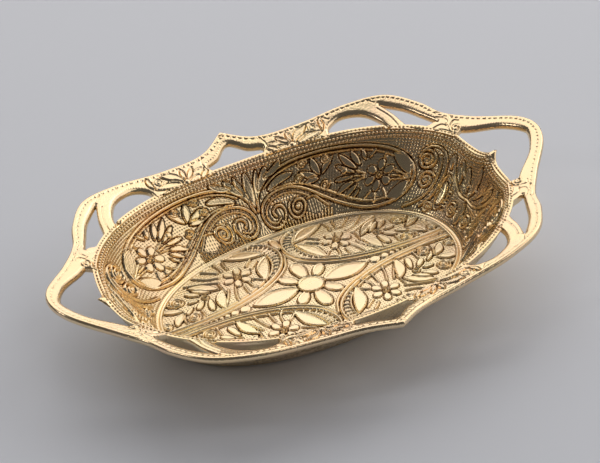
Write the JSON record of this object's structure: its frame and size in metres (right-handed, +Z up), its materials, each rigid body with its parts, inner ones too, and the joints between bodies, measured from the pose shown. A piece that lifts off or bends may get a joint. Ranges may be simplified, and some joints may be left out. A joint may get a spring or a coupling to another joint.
{
  "type": "date dish",
  "caption": "Oval serving dish for dates with an embossed bowl, a beaded lip and a cast openwork border with bow handles, in polished gold-coloured metal.",
  "frame": {"origin": "middle of the floor's underside, on the table", "axes": "+X from handle to handle, +Y from point to point, +Z up"},
  "size_m": [0.28, 0.2, 0.051],
  "materials": {
    "pressed_gold": "polished, embossed",
    "bead_gold": "polished beads",
    "cast_gold": "polished casting"
  },
  "bodies": {
    "root": {"bowl": "pressed_gold", "bead_band": "bead_gold", "handle_right": "cast_gold", "handle_left": "cast_gold", "point_back": "cast_gold", "point_front": "cast_gold", "corner_back_right": "cast_gold", "corner_back_left": "cast_gold", "corner_front_right": "cast_gold", "corner_front_left": "cast_gold"}
  },
  "joints": []
}
